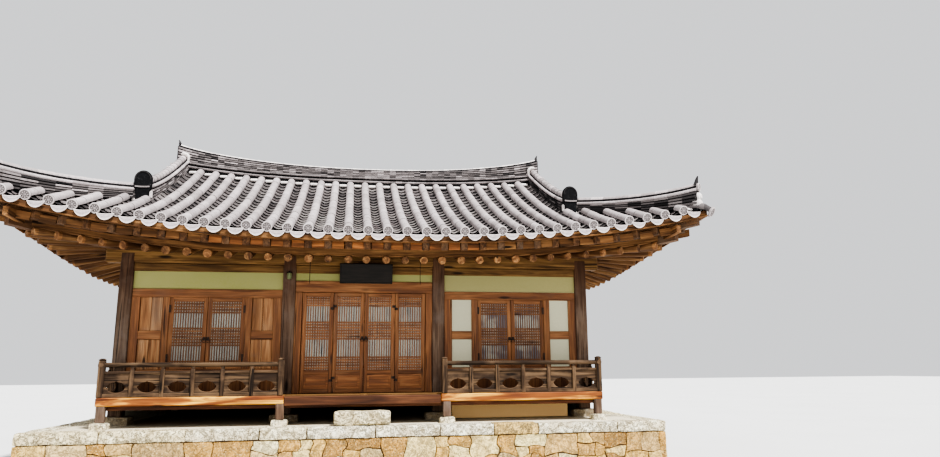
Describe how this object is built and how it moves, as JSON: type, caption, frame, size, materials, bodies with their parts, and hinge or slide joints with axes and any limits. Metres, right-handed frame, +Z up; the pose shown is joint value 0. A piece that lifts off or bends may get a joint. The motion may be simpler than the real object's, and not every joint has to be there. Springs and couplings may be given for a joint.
{
  "type": "one-storey timber house with a tiled hip-and-gable roof, on a stone platform",
  "caption": "Traditional timber house of three bays on a stone platform, with a railed porch, lattice doors and windows, and a tiled hip-and-gable roof with upturned corners.",
  "frame": {"origin": "on the ground, under the middle of the main ridge, at the centre of the platform's underside", "axes": "+X to the right along the front as a visitor sees it, +Y from the front to the back, +Z up"},
  "size_m": [11.2178, 8.7678, 6.2271],
  "materials": {
    "weathered_timber": "weathered, unpainted",
    "red_timber": "oiled, matte",
    "golden_timber": "oiled, satin",
    "lime_plaster": "matte plaster",
    "tan_plaster": "matte plaster",
    "granite": "dressed, matte",
    "rubble_stone": "rough, matte",
    "roof_tile": "smoked clay, matte",
    "window_paper": "matte",
    "black_board": "painted, satin",
    "black_iron": "forged, matte"
  },
  "bodies": {
    "house": {"stone_platform": "granite", "stepping_stone": "granite", "front_column_1": "weathered_timber", "front_column_2": "weathered_timber", "front_column_3": "weathered_timber", "front_column_4": "weathered_timber", "front_beam": "weathered_timber", "front_left_frame": "red_timber", "front_left_window": "red_timber", "front_right_frame": "red_timber", "front_right_window": "red_timber", "front_left_plaster": "lime_plaster", "front_middle_plaster": "lime_plaster", "front_right_plaster": "lime_plaster", "front_middle_frame": "red_timber", "door_outer_left": "red_timber", "door_outer_right": "red_timber", "right_frame": "weathered_timber", "right_plaster_1": "lime_plaster", "right_plaster_2": "lime_plaster", "right_window": "red_timber", "left_frame": "weathered_timber", "left_plaster_1": "lime_plaster", "left_plaster_2": "lime_plaster", "left_window": "red_timber", "back_frame": "weathered_timber", "back_plaster_1": "lime_plaster", "back_plaster_2": "lime_plaster", "back_plaster_3": "lime_plaster", "back_window": "red_timber", "inner_floor": "golden_timber", "low_wall": "tan_plaster", "porch_frame": "golden_timber", "porch_floor": "golden_timber", "left_railing": "weathered_timber", "right_railing": "weathered_timber", "name_board": "black_board", "front_roof": "roof_tile", "back_roof": "roof_tile", "right_roof": "roof_tile", "left_roof": "roof_tile", "main_ridge": "roof_tile", "front_left_ridge": "roof_tile", "front_right_ridge": "roof_tile", "back_right_ridge": "roof_tile", "back_left_ridge": "roof_tile", "right_gable": "lime_plaster", "left_gable": "lime_plaster", "right_bargeboards": "red_timber", "left_bargeboards": "red_timber", "front_rafters": "golden_timber", "back_rafters": "golden_timber", "right_rafters": "golden_timber", "left_rafters": "golden_timber"},
    "left_door_leaf": {"door_centre_left": "red_timber"},
    "right_door_leaf": {"door_centre_right": "red_timber"}
  },
  "joints": [
    {"name": "left_door_hinge", "type": "hinge", "parent": "house", "child": "left_door_leaf", "pos_m": [-0.5225, -2.737, 1.196], "axis": [0, 0, -1], "range_deg": [0, 170]},
    {"name": "right_door_hinge", "type": "hinge", "parent": "house", "child": "right_door_leaf", "pos_m": [0.5225, -2.737, 1.196], "axis": [0, 0, 1], "range_deg": [0, 170]}
  ]
}
